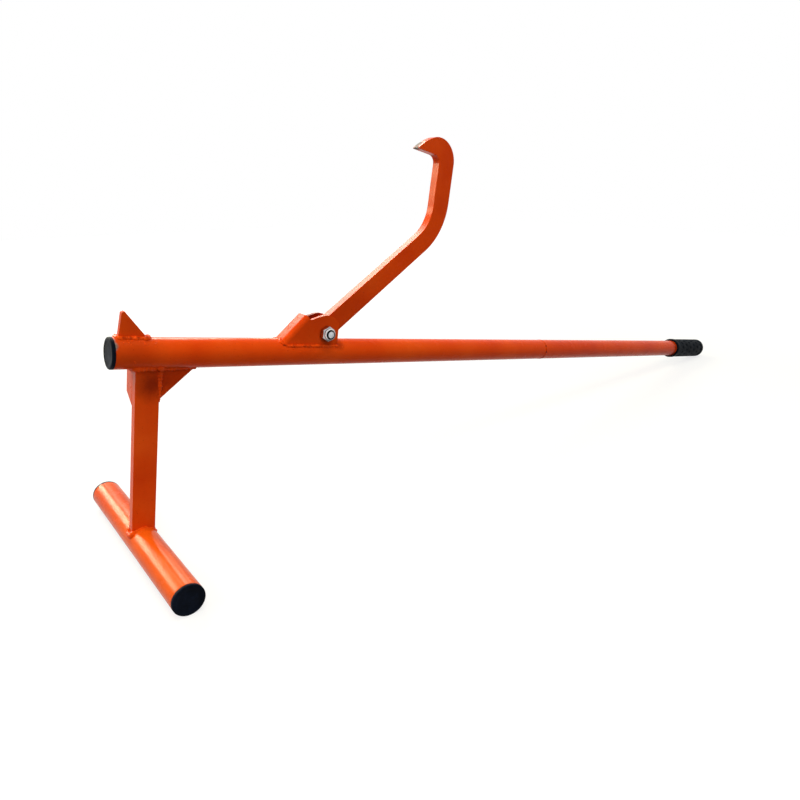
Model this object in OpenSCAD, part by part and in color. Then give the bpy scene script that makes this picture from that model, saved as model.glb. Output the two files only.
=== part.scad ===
// Felling lever: a long tube handle with a leg and cross foot, a fixed tooth and a swinging log hook.
// The lever is drawn along its handle and then laid on its foot and its grip, as it rests on a floor.

/* [Handle] */
// Outside diameter of the handle tube
tube_d = 32; // [28:0.5:40]
// Wall of the handle tube
tube_wall = 2.5; // [2:0.1:4]
// Length of the handle tube, head end to grip end
handle_len = 1270; // [900:1:1500]
// Distance from the head end to the seam between the two tube lengths
seam_x = 676; // [500:1:800]
// Length of the sleeve inside the seam
sleeve_len = 160; // [80:1:240]
// Wall of the sleeve inside the seam
sleeve_wall = 2.5; // [2:0.1:4]

/* [Grip] */
// Length of the rubber grip
grip_len = 128; // [90:1:180]
// Thickness of the rubber round the tube, at the collar
grip_wall = 3.85; // [3:0.05:8]
// Thickness of the rubber over the tube end
grip_end = 6; // [4:0.5:10]
// Rounding of the closed end of the grip
grip_round = 4; // [2:0.5:8]
// Length of the smooth collar at the open end of the grip
collar_len = 9; // [5:0.5:15]
// Depth of the step from the collar down to the grip
collar_step = 0.6; // [0.3:0.1:1.5]

/* [Leg and foot] */
// Distance from the head end to the middle of the leg
leg_x = 33; // [28:0.5:60]
// Width of the flat bar along the handle
leg_w = 24; // [16:0.5:30]
// Thickness of the flat bar
leg_t = 10; // [6:0.5:14]
// Drop from the handle axis to the foot axis
leg_drop = 205; // [150:1:280]
// Outside diameter of the foot tube
foot_d = 32; // [27:0.5:38]
// Wall of the foot tube
foot_wall = 2.5; // [2:0.1:4]
// Length of the foot tube
foot_len = 260; // [200:1:340]
// Length of the gusset along the handle, from the leg to its tip
gusset_len = 36; // [20:1:60]
// Height of the gusset below the handle tube, along the leg
gusset_drop = 33; // [20:1:50]
// Thickness of the gusset
gusset_t = 6; // [4:0.5:8]
// Depth of the rear gusset behind the leg
rear_depth = 18; // [8:0.5:20]
// Drop from the underside of the handle tube to the toe of the rear gusset
rear_drop = 40; // [24:1:64]

/* [Tooth] */
// Distance from the head end to the foot of the steep edge
tooth_x = 5.2; // [3:0.2:10]
// Length of the tooth along the handle at its base
tooth_len = 27; // [20:0.5:40]
// Height of the tooth point above the handle tube
tooth_h = 25.5; // [15:0.5:40]
// Distance from the steep edge's foot to the point, along the handle
tooth_lean = 2.6; // [0:0.2:6]
// Width of the blunt point
tooth_tip = 2.6; // [1:0.2:5]
// Thickness of the tooth plate
tooth_t = 6; // [4:0.5:10]

/* [Bracket] */
// Distance from the head end to the hook pivot
pivot_x = 236.5; // [200:0.5:300]
// Height of the hook pivot above the handle tube
pivot_rise = 8.4; // [8:0.1:16]
// Steel of the bent channel
plate_t = 5; // [3:0.5:6]
// Outside bend radius of the channel
bend_r = 6; // [5:0.5:8]
// Radius of the cheek nose round the pivot
nose_r = 21.5; // [20:0.5:24]
// Distance from the pivot to the front edge of the cheeks, along the handle
cheek_front = 17.5; // [15:0.5:20]
// Slope of the back wall
wall_slope = 46; // [40:1:55]
// Distance from the pivot to the outer face of the back wall, square to the wall
wall_back = 34; // [31:0.1:45]
// Height of the top edge of the back wall above the handle tube
wall_rise = 28.8; // [26:0.1:36]
// Depth of the notch between the back wall and the nose
notch = 7.4; // [6:0.2:9]

/* [Hook] */
// Thickness of the hook plate
hook_t = 12; // [8:0.5:16]
// Width of the straight shank
shank_w = 23.4; // [20:0.1:28]
// Width of the arm that carries the claw
arm_w = 26.2; // [22:0.1:32]
// Slope of the shank as it stands
shank_slope = 40.4; // [35:0.2:50]
// Distance from the pivot to the inner edge of the arm, along the handle
arm_reach = 151.5; // [130:0.5:180]
// Height of the underside of the claw above the pivot
claw_h = 229.5; // [200:0.5:260]
// Bend radius on the inside of the hook
inner_r = 52; // [30:1:70]
// Bend radius on the outside of the hook
outer_r = 85; // [60:1:100]
// Height of the centre of the crown above the foot of the claw's fillet
crown_lift = 2.5; // [0:0.1:6]
// Radius of the crown over the claw
crown_r = 28.6; // [24:0.1:32]
// Direction in which the crown passes into the back of the claw
crown_end = 116; // [100:1:120]
// Radius of the back of the claw
claw_r = 81; // [70:1:120]
// Turn of the back of the claw, from crown to tip
claw_turn = 19; // [15:0.2:24]
// Fillet under the claw
claw_fillet = 9.5; // [4:0.5:12]
// Height of the blunt end of the claw
claw_tip = 1.3; // [0.5:0.1:3]
// Gap between the eye round the bolt and the handle tube
eye_gap = 0.3; // [0.3:0.1:1.5]
// Distance along the shank over which the eye widens to full width
eye_blend = 16; // [14:1:24]

/* [Fasteners] */
// Diameter of the pivot bolt
bolt_d = 10; // [8:1:12]
// Across flats of the bolt head and nut
hex_af = 16; // [13:1:19]
// Height of the bolt head
head_h = 6.4; // [5:0.1:8]
// Height of the lock nut
nut_h = 10; // [8:0.5:12]
// Height of the round collar of the lock nut
nut_collar = 3; // [2:0.5:4]
// Length of bolt beyond the lock nut
bolt_over = 1.6; // [0.5:0.1:4]
// Outside diameter of the friction washers beside the hook
washer_d = 18; // [16:0.5:18]
// Thickness of a friction washer
washer_t = 0.9; // [0.5:0.1:2]

/* [Plugs] */
// Thickness of a plug flange
flange_t = 3.5; // [2:0.5:5]
// Rounding of a plug flange
flange_round = 1.5; // [0.5:0.1:2]
// Depth of a plug barrel in its tube
barrel_len = 16; // [8:1:30]
// Wall of a plug barrel
barrel_wall = 2; // [1:0.2:3]

/* [Welds] */
// Leg of a weld fillet
weld_w = 3.5; // [2:0.5:5]

/* [Fits] */
// Radial clearance of the bolt in its holes
bolt_fit = 0.05; // [0.02:0.01:0.1]
// Clearance beside a friction washer
washer_fit = 0.1; // [0.05:0.05:0.3]
// Radial clearance of a push fit between tube and sleeve, plug or grip
push_fit = 0.05; // [0.02:0.01:0.2]

/* [Hidden] */

$fn = 96;
paint = "#E2521A";
plastic = "#23262C";
zinc = "#C9CCD1";
// Reach of a cutting tool past the face that it cuts
cut = 1;

tube_r = tube_d / 2;
tube_bore = tube_r - tube_wall;
foot_r = foot_d / 2;
foot_bore = foot_r - foot_wall;
grip_r = tube_r + push_fit + grip_wall;
handle_end = handle_len + grip_end;
grip_start = handle_end - grip_len;
channel_half = hook_t / 2 + washer_t + washer_fit;
cheek_y = channel_half + plate_t;
nut_end = cheek_y + nut_h;
bolt_end = nut_end + bolt_over;
// Outside of the lock nut's round collar, and of the insert in it, with the insert's step down from its end
collar_r = hex_af / 2 - 1;
insert_r = bolt_d / 2 + 0.6 * (collar_r - bolt_d / 2);
insert_inset = 0.5;

// The tilt that brings the foot tube and the rounded grip end down to one level floor
grip_body_r = grip_r - collar_step;
touch_x = handle_end - grip_round - leg_x;
touch_z = grip_body_r - grip_round - leg_drop;
tilt = asin((foot_r - grip_round) / norm([touch_x, touch_z])) - atan2(touch_z, touch_x);
floor_z = leg_x * sin(tilt) + leg_drop * cos(tilt) + foot_r;
// Ends of the lever along the floor, which centre the frame between them
front_x = -leg_drop * sin(tilt) + leg_x * cos(tilt) - foot_r;
rear_x = (handle_end - grip_round) * cos(tilt) + (grip_body_r - grip_round) * sin(tilt) + grip_round;
mid_x = (front_x + rear_x) / 2;

// The pivot and the back wall, seen from the side
pivot_z = tube_r + pivot_rise;
wall_top = tube_r + wall_rise;
eye_r = pivot_rise - eye_gap;
pivot = [pivot_x, pivot_z];
wall_dir = [cos(wall_slope), sin(wall_slope)];
wall_out = [-sin(wall_slope), cos(wall_slope)];
wall_foot = pivot + wall_back * wall_out;
wall_base = wall_foot - wall_dir * wall_foot[1] / wall_dir[1];

// Points along a round stretch of an outline
function arc(c, r, from, to, steps = 16) =
    [for (i = [0 : steps]) let (a = from + (to - from) * i / steps) c + r * [cos(a), sin(a)]];

// Lays the handle frame down on the floor
module rest() {
    translate([-mid_x, 0, floor_z]) rotate([0, tilt, 0]) children();
}

// Extrudes an outline drawn in the plane of the leg, centred on that plane
module in_leg_plane(thick) {
    rotate([90, 0, 0]) linear_extrude(thick, center = true) children();
}

// Solid rod along the handle
module along_x(r, from, to) {
    translate([from, 0, 0]) rotate([0, 90, 0]) cylinder(r = r, h = to - from);
}

// Solid rod across the handle, in the plane of the leg and square to it
module along_y(r, x, z, from, to) {
    translate([x, from, z]) rotate([-90, 0, 0]) cylinder(r = r, h = to - from);
}

module tube_x(r, bore, from, to) {
    difference() {
        along_x(r, from, to);
        along_x(bore, from - cut, to + cut);
    }
}

// The tube that a piece is cut to fit
module handle_body(extra = 0) {
    along_x(tube_r + extra, 0, handle_len);
}

module foot_body(extra = 0) {
    along_y(foot_r + extra, leg_x, -leg_drop, -foot_len / 2, foot_len / 2);
}

// Moulded plug, with its flange face at the origin looking along +Z and its barrel below it
module end_plug(r, bore) {
    barrel_r = bore - push_fit;
    rotate_extrude() polygon(concat(
        [[0, -flange_t], [0, 0]],
        [[r - flange_round, 0]],
        arc([r - flange_round, -flange_round], flange_round, 90, 0, 8),
        [[r, -flange_t], [barrel_r, -flange_t], [barrel_r, -flange_t - barrel_len],
         [barrel_r - barrel_wall, -flange_t - barrel_len], [barrel_r - barrel_wall, -flange_t]]
    ));
}

module lower_tube() {
    color(paint) rest() tube_x(tube_r, tube_bore, 0, seam_x);
}

module upper_tube() {
    color(paint) rest() tube_x(tube_r, tube_bore, seam_x, handle_len);
}

module seam_sleeve() {
    sleeve_r = tube_bore - push_fit;
    color(zinc) rest()
        tube_x(sleeve_r, sleeve_r - sleeve_wall, seam_x - sleeve_len / 2, seam_x + sleeve_len / 2);
}

module head_plug() {
    color(plastic) rest() translate([-flange_t, 0, 0]) rotate([0, -90, 0]) end_plug(tube_r, tube_bore);
}

// Rubber sleeve with a smooth collar at its mouth and a closed, rounded end
module grip() {
    bore = tube_r + push_fit;
    color(plastic) rest() translate([grip_start, 0, 0]) rotate([0, 90, 0]) rotate_extrude() polygon(concat(
        [[bore, 0], [grip_body_r, 0], [grip_r, collar_step],
         [grip_r, collar_len], [grip_body_r, collar_len + collar_step]],
        arc([grip_body_r - grip_round, grip_len - grip_round], grip_round, 0, 90, 8),
        [[0, grip_len], [0, grip_len - grip_end], [bore, grip_len - grip_end]]
    ));
}

module tooth_blank(extra = 0) {
    point_x = tooth_x + tooth_lean;
    top = tube_r + tooth_h;
    base_x = tooth_x + tooth_len;
    run = (base_x - point_x - tooth_tip) / tooth_h;
    difference() {
        in_leg_plane(tooth_t + 2 * extra) polygon([
            [tooth_x - extra, 0], [tooth_x - extra, tube_r],
            [point_x - extra, top - tooth_tip / 2], [point_x + tooth_tip + extra, top],
            [base_x + extra, tube_r], [base_x + extra + run * tube_r, 0]
        ]);
        handle_body();
    }
}

module tooth() {
    color(paint) rest() tooth_blank();
}

// Weld band round the foot of a piece on the handle tube
module tooth_weld() {
    color(paint) rest() difference() {
        intersection() {
            tooth_blank(weld_w);
            handle_body(weld_w);
        }
        tooth_blank();
    }
}

module post_blank(extra = 0) {
    translate([leg_x - leg_w / 2 - extra, -leg_t / 2 - extra, -leg_drop])
        cube([leg_w + 2 * extra, leg_t + 2 * extra, leg_drop]);
}

module leg_post() {
    color(paint) rest() difference() {
        post_blank();
        handle_body();
        foot_body();
    }
}

module gusset_blank(extra = 0) {
    back = leg_x + leg_w / 2;
    run = gusset_len / gusset_drop;
    tip = back + gusset_len + run * (tube_r + extra);
    difference() {
        in_leg_plane(gusset_t + 2 * extra) polygon([
            [back, 0], [tip, 0], [back, -tube_r - gusset_drop - extra]
        ]);
        handle_body();
    }
}

module leg_gusset() {
    color(paint) rest() gusset_blank();
}

// Block behind the leg with a sloped toe, as wide as the leg
module rear_blank(extra = 0) {
    front = leg_t / 2;
    back = front + rear_depth + extra;
    toe = tube_r + rear_drop;
    // The toe's slope rises by two thirds of the depth
    shoulder = toe - rear_depth * 2 / 3;
    difference() {
        translate([leg_x - leg_w / 2 - extra, 0, 0]) rotate([90, 0, 90])
            linear_extrude(leg_w + 2 * extra) polygon([
                [front, -tube_r / 2 + extra], [back, -tube_r / 2 + extra],
                [back, -shoulder], [front, -toe - extra]
            ]);
        handle_body();
    }
}

module rear_gusset() {
    color(paint) rest() rear_blank();
}

module post_top_weld() {
    color(paint) rest() difference() {
        intersection() {
            union() {
                post_blank(weld_w);
                rear_blank(weld_w);
            }
            handle_body(weld_w);
        }
        handle_body();
        post_blank();
        rear_blank();
        gusset_blank();
    }
}

module gusset_weld() {
    back = leg_x + leg_w / 2;
    color(paint) rest() difference() {
        intersection() {
            gusset_blank(weld_w);
            union() {
                handle_body(weld_w);
                translate([back, -leg_t / 2, -leg_drop]) cube([weld_w, leg_t, leg_drop]);
            }
        }
        gusset_blank();
        intersection() {
            post_blank(weld_w);
            handle_body(weld_w);
        }
    }
}

module foot_tube() {
    color(paint) rest() difference() {
        foot_body();
        along_y(foot_bore, leg_x, -leg_drop, -foot_len / 2 - cut, foot_len / 2 + cut);
    }
}

module foot_weld() {
    color(paint) rest() difference() {
        intersection() {
            post_blank(weld_w);
            foot_body(weld_w);
        }
        foot_body();
        post_blank();
    }
}

// Side -1 is the front end of the foot tube, side 1 the back end
module foot_plug(side) {
    color(plastic) rest() translate([leg_x, side * (foot_len / 2 + flange_t), -leg_drop])
        rotate([-90 * side, 0, 0]) end_plug(foot_r, foot_bore);
}

// Side view of a bracket cheek, cut off at the handle axis
module cheek_outline() {
    corner = wall_base + wall_dir * wall_top / wall_dir[1];
    dip = corner - notch * wall_out;
    to_dip = dip - pivot;
    tangent = atan2(to_dip[1], to_dip[0]) - acos(nose_r / norm(to_dip));
    polygon(concat(
        [wall_base, corner, dip],
        arc(pivot, nose_r, tangent, acos(cheek_front / nose_r), 24),
        [[pivot_x + cheek_front, 0]]
    ));
}

// Cross-section of the bent channel: the back wall lies on the Y axis of this drawing
module channel_outline() {
    reach = wall_back + 2 * nose_r;
    difference() {
        union() {
            translate([bend_r, -cheek_y]) square([reach, 2 * cheek_y]);
            translate([0, -cheek_y + bend_r]) square([reach, 2 * (cheek_y - bend_r)]);
            for (s = [-1, 1]) translate([bend_r, s * (cheek_y - bend_r)]) circle(r = bend_r);
        }
        translate([plate_t, -channel_half]) square([2 * reach, 2 * channel_half]);
    }
}

// The channel, standing on the slope of its back wall
module channel() {
    run = 3 * wall_top;
    translate([pivot_x, 0, pivot_z] + wall_back * [wall_out[0], 0, wall_out[1]])
        rotate([0, 90 - wall_slope, 0]) translate([0, 0, -run])
            linear_extrude(2 * run) channel_outline();
}

module hook_bracket() {
    color(paint) rest() difference() {
        intersection() {
            channel();
            in_leg_plane(2 * cheek_y + 2 * cut) cheek_outline();
        }
        handle_body();
        along_y(bolt_d / 2 + bolt_fit, pivot_x, pivot_z, -cheek_y - cut, cheek_y + cut);
    }
}

// Slanted block that holds the foot of the bracket, longer at the back and front where asked
module bracket_foot(behind, ahead) {
    top = tube_r + 2 * weld_w;
    lean = [top * wall_dir[0] / wall_dir[1], top];
    polygon([
        wall_base - [behind, 0], wall_base - [behind, 0] + lean,
        [pivot_x + cheek_front + ahead, top], [pivot_x + cheek_front + ahead, 0]
    ]);
}

module bracket_weld() {
    color(paint) rest() difference() {
        intersection() {
            in_leg_plane(2 * (cheek_y + weld_w)) bracket_foot(weld_w / wall_dir[1], 0);
            handle_body(weld_w);
        }
        handle_body();
        in_leg_plane(2 * cheek_y) bracket_foot(0, cut);
    }
}

module friction_washer(side) {
    near = hook_t / 2 + washer_fit / 2;
    from = side > 0 ? near : -near - washer_t;
    color(zinc) rest() difference() {
        along_y(washer_d / 2, pivot_x, pivot_z, from, from + washer_t);
        along_y(bolt_d / 2 + bolt_fit, pivot_x, pivot_z, from - cut, from + washer_t + cut);
    }
}

module hex_y(af, from, to) {
    translate([pivot_x, from, pivot_z]) rotate([-90, 0, 0])
        cylinder(r = af / sqrt(3), h = to - from, $fn = 6);
}

// Hex bolt with its head at the back and a chamfered end at the front
module pivot_bolt() {
    chamfer = bolt_d / 10;
    color(zinc) rest() {
        hex_y(hex_af, cheek_y, cheek_y + head_h);
        along_y(bolt_d / 2, pivot_x, pivot_z, chamfer - bolt_end, cheek_y);
        translate([pivot_x, -bolt_end, pivot_z]) rotate([-90, 0, 0])
            cylinder(r1 = bolt_d / 2 - chamfer, r2 = bolt_d / 2, h = chamfer);
    }
}

module lock_nut() {
    hex_end = nut_end - nut_collar;
    color(zinc) rest() difference() {
        union() {
            hex_y(hex_af, -hex_end, -cheek_y);
            along_y(collar_r, pivot_x, pivot_z, -nut_end, -hex_end);
        }
        along_y(bolt_d / 2 + bolt_fit, pivot_x, pivot_z, -nut_end - cut, -cheek_y + cut);
        along_y(insert_r, pivot_x, pivot_z, -nut_end - cut, -hex_end);
    }
}

module nut_insert() {
    hex_end = nut_end - nut_collar;
    color(plastic) rest() difference() {
        along_y(insert_r, pivot_x, pivot_z, -nut_end + insert_inset, -hex_end);
        along_y(bolt_d / 2 + bolt_fit, pivot_x, pivot_z, -nut_end - cut, -hex_end + cut);
    }
}

// Side view of the hook about its pivot, with its shank on its slope and its arm upright
module hook_outline() {
    e = [cos(shank_slope), sin(shank_slope)];
    n = [-sin(shank_slope), cos(shank_slope)];
    half = shank_w / 2;
    turn = 90 - shank_slope;
    arm_out = arm_reach + arm_w;
    inner_z = half / e[0] + arm_reach * e[1] / e[0] + inner_r * tan(turn / 2);
    outer_z = -half / e[0] + arm_out * e[1] / e[0] + outer_r * tan(turn / 2);
    crown = [arm_out - crown_r, claw_h - claw_fillet + crown_lift];
    back = crown + (crown_r - claw_r) * [cos(crown_end), sin(crown_end)];
    tip = back + claw_r * [cos(crown_end + claw_turn), sin(crown_end + claw_turn)];
    polygon(concat(
        [-eye_r * n, eye_blend * e - half * n],
        arc([arm_out - outer_r, outer_z], outer_r, -turn, 0),
        arc(crown, crown_r, 0, crown_end, 24),
        arc(back, claw_r, crown_end, crown_end + claw_turn, 8),
        [tip - [0, claw_tip]],
        arc([arm_reach - claw_fillet, claw_h - claw_fillet], claw_fillet, 90, 0, 8),
        arc([arm_reach - inner_r, inner_z], inner_r, 0, -turn),
        [eye_blend * e + half * n, eye_r * n]
    ));
    circle(r = eye_r);
}

module hook() {
    color(paint) rest() difference() {
        translate([pivot_x, 0, pivot_z]) in_leg_plane(hook_t) hook_outline();
        along_y(bolt_d / 2 + bolt_fit, pivot_x, pivot_z, -hook_t, hook_t);
    }
}

lower_tube();
upper_tube();
seam_sleeve();
head_plug();
grip();
tooth();
tooth_weld();
leg_post();
leg_gusset();
rear_gusset();
post_top_weld();
gusset_weld();
foot_tube();
foot_weld();
foot_plug(-1);  // foot_plug_front
foot_plug(1);  // foot_plug_back
hook_bracket();
bracket_weld();
friction_washer(-1);  // friction_washer_front
friction_washer(1);  // friction_washer_back
pivot_bolt();
lock_nut();
nut_insert();
hook();
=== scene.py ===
import math
import random

import bmesh
import bpy
from mathutils import Matrix, Vector


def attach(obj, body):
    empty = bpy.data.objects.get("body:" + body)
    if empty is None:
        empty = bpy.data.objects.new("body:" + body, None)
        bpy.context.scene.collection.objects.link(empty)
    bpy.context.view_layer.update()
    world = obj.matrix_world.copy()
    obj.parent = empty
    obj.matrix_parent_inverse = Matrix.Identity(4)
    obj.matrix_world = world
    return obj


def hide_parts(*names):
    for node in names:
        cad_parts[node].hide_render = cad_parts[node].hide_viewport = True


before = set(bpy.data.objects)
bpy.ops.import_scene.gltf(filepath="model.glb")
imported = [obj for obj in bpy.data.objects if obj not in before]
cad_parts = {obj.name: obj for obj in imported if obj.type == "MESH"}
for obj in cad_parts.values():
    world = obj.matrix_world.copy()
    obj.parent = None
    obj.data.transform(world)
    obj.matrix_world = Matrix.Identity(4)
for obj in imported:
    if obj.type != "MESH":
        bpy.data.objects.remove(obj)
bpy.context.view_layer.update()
scene = bpy.context.scene
mm = 0.001
tiny = 1e-6

# the handle's own frame: x along the tube from its head end, z up in the plane of the leg
rest = {"tilt": math.radians(9.25334), "midX": 622.757, "floorZ": 223.639}
pivot = {"x": 236.5, "z": 24.4}
clawTip = (351.3, 0.0, 255.8)
foot = {"x": 33.0, "z": -205.0, "radius": 16.0, "wall": 2.5, "length": 260.0, "ends": (0.5, 0)}


def toRow(x, y, z):  # handle frame in millimetres to the floor frame in metres
    c = math.cos(rest["tilt"])
    s = math.sin(rest["tilt"])
    return Vector(((x * c + z * s - rest["midX"]) * mm, y * mm, (z * c - x * s + rest["floorZ"]) * mm))


def alongPivot(along, a, b):  # along runs towards the viewer's side, -Y
    return toRow(pivot["x"] + a, -along, pivot["z"] + b)


def alongFoot(along, a, b):
    return toRow(foot["x"] + a, along, foot["z"] + b)


def shade(piece, angle):
    piece.data.shade_smooth()
    piece.data.set_sharp_from_angle(angle=math.radians(angle))


def addPiece(name, bm, angle):
    mesh = bpy.data.meshes.new(name)
    bm.to_mesh(mesh)
    bm.free()
    piece = bpy.data.objects.new(name, mesh)
    scene.collection.objects.link(piece)
    shade(piece, angle)
    return piece


def plainMesh(piece):  # bakes the modifiers into a mesh and drops them
    bpy.context.view_layer.update()
    graph = bpy.context.evaluated_depsgraph_get()
    mesh = bpy.data.meshes.new_from_object(piece.evaluated_get(graph))
    piece.modifiers.clear()
    if piece.type == "MESH":
        old = piece.data
        piece.data = mesh
        bpy.data.meshes.remove(old)
        return piece
    name = piece.name
    bpy.data.objects.remove(piece)
    made = bpy.data.objects.new(name, mesh)
    scene.collection.objects.link(made)
    return made


def join(name, parts, angle):  # several meshes as one piece
    bm = bmesh.new()
    for part in parts:
        bm.from_mesh(part.data)
        bpy.data.objects.remove(part)
    return addPiece(name, bm, angle)


def coat(mesh, material):
    mesh.materials.clear()
    mesh.materials.append(material)
    for face in mesh.polygons:
        face.material_index = 0


def finishPiece(piece, body, nodes, material):
    coat(piece.data, material)
    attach(piece, body)
    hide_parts(*nodes)


def lathe(name, profile, place, steps, closed, angle):
    # profile is a list of (distance along, radius); place turns (along, a, b) into a point
    bm = bmesh.new()
    rings = []
    for along, radius in profile:
        if radius < tiny:
            rings.append([bm.verts.new(place(along, 0, 0))])
            continue
        ring = []
        for k in range(steps):
            turn = 2 * math.pi * k / steps
            ring.append(bm.verts.new(place(along, radius * math.cos(turn), radius * math.sin(turn))))
        rings.append(ring)
    pairs = list(zip(rings, rings[1:]))
    if closed:
        pairs.append((rings[-1], rings[0]))
    for one, two in pairs:
        for k in range(steps):
            j = (k + 1) % steps
            corners = []
            for v in (one[k % len(one)], one[j % len(one)], two[j % len(two)], two[k % len(two)]):
                if v not in corners:
                    corners.append(v)
            if len(corners) > 2:
                bm.faces.new(corners)
    bmesh.ops.recalc_face_normals(bm, faces=bm.faces)
    return addPiece(name, bm, angle)


def roundCorner(centre, radius, start, stop, steps=6):  # points of an arc in a lathe profile
    points = []
    for k in range(steps + 1):
        a = math.radians(start + (stop - start) * k / steps)
        points.append((centre[0] + radius * math.cos(a), centre[1] + radius * math.sin(a)))
    return points


def span(a, b, count=12):
    return [a + (b - a) * k / count for k in range(count + 1)]


def fill(tree, node, inputs):  # each input takes another node's output, a colour or a fixed value
    for label, value in inputs.items():
        socket = node.inputs[label]
        if isinstance(value, bpy.types.NodeSocket):
            tree.links.new(value, socket)
        elif socket.type == "RGBA":
            socket.default_value = (*value, 1)
        else:
            socket.default_value = value


def addNode(tree, kind, inputs=None, **options):
    node = tree.nodes.new(kind)
    for option, value in options.items():
        setattr(node, option, value)
    fill(tree, node, inputs or {})
    return node


def calc(tree, operation, *values):
    return addNode(tree, "ShaderNodeMath", dict(enumerate(values)), operation=operation).outputs[0]


def vectorCalc(tree, operation, one, two, output="Vector"):
    return addNode(tree, "ShaderNodeVectorMath", {0: one, 1: two}, operation=operation).outputs[output]


def mapRange(tree, value, start, stop, low, high, kind="LINEAR"):
    inputs = {"Value": value, "From Min": start, "From Max": stop, "To Min": low, "To Max": high}
    return addNode(tree, "ShaderNodeMapRange", inputs, interpolation_type=kind).outputs[0]


def noise(tree, coords, scale, detail, rough=0.5):
    inputs = {"Vector": coords, "Scale": scale, "Detail": detail, "Roughness": rough}
    return addNode(tree, "ShaderNodeTexNoise", inputs).outputs["Fac"]


def ramp(tree, value, stops):
    node = addNode(tree, "ShaderNodeValToRGB", {0: value})
    band = node.color_ramp
    while len(band.elements) < len(stops):
        band.elements.new(0.5)
    for element, (at, colour) in zip(band.elements, stops):
        element.position = at
        element.color = (*colour, 1)
    return node.outputs["Color"]


def mottled(tree, value, one, two, start=0.3, stop=0.7):
    return ramp(tree, value, [(start, one), (stop, two)])


def bump(tree, height, strength, distance, below=None):
    node = addNode(tree, "ShaderNodeBump", {"Height": height, "Strength": strength, "Distance": distance})
    if below:
        fill(tree, node, {"Normal": below})
    return node.outputs[0]


def mixColour(tree, factor, one, two, blend="MIX"):
    inputs = {"Factor": factor, 6: one, 7: two}
    return addNode(tree, "ShaderNodeMix", inputs, data_type="RGBA", blend_type=blend).outputs[2]


def grey(v):
    return (v, v, v)


def linear(hexCode):
    parts = [int(hexCode[k:k + 2], 16) / 255 for k in (1, 3, 5)]
    return tuple(p / 12.92 if p <= 0.04045 else ((p + 0.055) / 1.055) ** 2.4 for p in parts)


def emptyTree(owner):
    owner.use_nodes = True
    owner.node_tree.nodes.clear()
    return owner.node_tree


def nodeMaterial(name):
    material = bpy.data.materials.new(name)
    tree = emptyTree(material)
    shader = addNode(tree, "ShaderNodeBsdfPrincipled")
    addNode(tree, "ShaderNodeOutputMaterial", {0: shader.outputs[0]})
    coords = addNode(tree, "ShaderNodeTexCoord")
    return material, tree, shader, coords.outputs["Object"]


def nearPoint(tree, coords, spot, inner, outer, ragged=0.4):
    # 1 at a spot in the handle's frame, falling to 0 at a ragged distance
    uneven = noise(tree, coords, 240, 4, 0.6)
    away = vectorCalc(tree, "DISTANCE", coords, toRow(*spot), "Value")
    edge = calc(tree, "MULTIPLY_ADD", uneven, ragged * outer * mm, away)
    middle = ragged * outer / 2
    return mapRange(tree, edge, (inner + middle) * mm, (outer + middle) * mm, 1, 0)


# the second set of tones is a yellower copy of the paint, a painted warm light for the foot
enamel = {"tones": ("#DA3F06", "#E4490A", "#EC5512"), "litTones": ("#DE4C08", "#E7560C", "#EE6016"),
          "toneStops": (0.3, 0.5, 0.72), "speck": "#A83004", "dirtAndShade": "#7C1802",
          "steel": ("#625B57", "#8F8A86"), "roughness": 0.23, "steelRoughness": 0.62, "specular": 0.06,
          "tint": (1.0, 0.78, 0.5), "fineDepth": 0.0004, "wideDepth": 0.001}


def orangeEnamel(name, peel=1.0, dents=0.0, dirtAndShade=(), bareAndHighlight=(), tones="tones"):
    # the first list holds spots of dirt and of painted shade as (spot, inner radius, outer radius, amount),
    # and the second bare steel patches, one of them a painted highlight, the same without amount
    material, tree, shader, coords = nodeMaterial(name)
    stops = [(at, linear(tone)) for at, tone in zip(enamel["toneStops"], enamel[tones])]
    colour = ramp(tree, noise(tree, coords, 14, 3), stops)
    specks = mottled(tree, noise(tree, coords, 900, 1), grey(0), grey(1), 0.72, 0.8)
    colour = mixColour(tree, specks, colour, linear(enamel["speck"]))
    # darker and redder at spots of dirt and of painted shade
    for *area, amount in dirtAndShade:
        mask = calc(tree, "MULTIPLY", nearPoint(tree, coords, *area), amount)
        colour = mixColour(tree, mask, colour, linear(enamel["dirtAndShade"]))
    smooth = grey(enamel["roughness"] - 0.05)
    rough = mottled(tree, noise(tree, coords, 60, 4), smooth, grey(enamel["roughness"] + 0.07))
    for area in bareAndHighlight:
        mask = nearPoint(tree, coords, *area, 0.25)
        darkSteel, lightSteel = [linear(tone) for tone in enamel["steel"]]
        steel = mottled(tree, noise(tree, coords, 500, 3), darkSteel, lightSteel, 0.35)
        colour = mixColour(tree, mask, colour, steel)
        rough = mixColour(tree, mask, rough, grey(enamel["steelRoughness"]))
    skin = bump(tree, noise(tree, coords, 420, 2), 0.1 * peel, enamel["fineDepth"])
    skin = bump(tree, noise(tree, coords, 90, 2), 0.05 * peel, enamel["wideDepth"], skin)
    if dents:
        skin = bump(tree, noise(tree, coords, 260, 4, 0.7), dents, enamel["wideDepth"], skin)
    fill(tree, shader, {"Base Color": colour, "Roughness": rough, "Normal": skin,
                        "Specular IOR Level": enamel["specular"], "Specular Tint": enamel["tint"]})
    return material


def metalFinish(name, dark, light, roughness, grain):
    material, tree, shader, coords = nodeMaterial(name)
    colour = mottled(tree, noise(tree, coords, 160, 4), linear(dark), linear(light))
    rough = mottled(tree, noise(tree, coords, 300, 3), grey(roughness - 0.08), grey(roughness + 0.1))
    fine = bump(tree, noise(tree, coords, 1500, 2), grain, 0.0002)
    fill(tree, shader, {"Base Color": colour, "Roughness": rough, "Normal": fine, "Metallic": 1})
    return material


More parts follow.
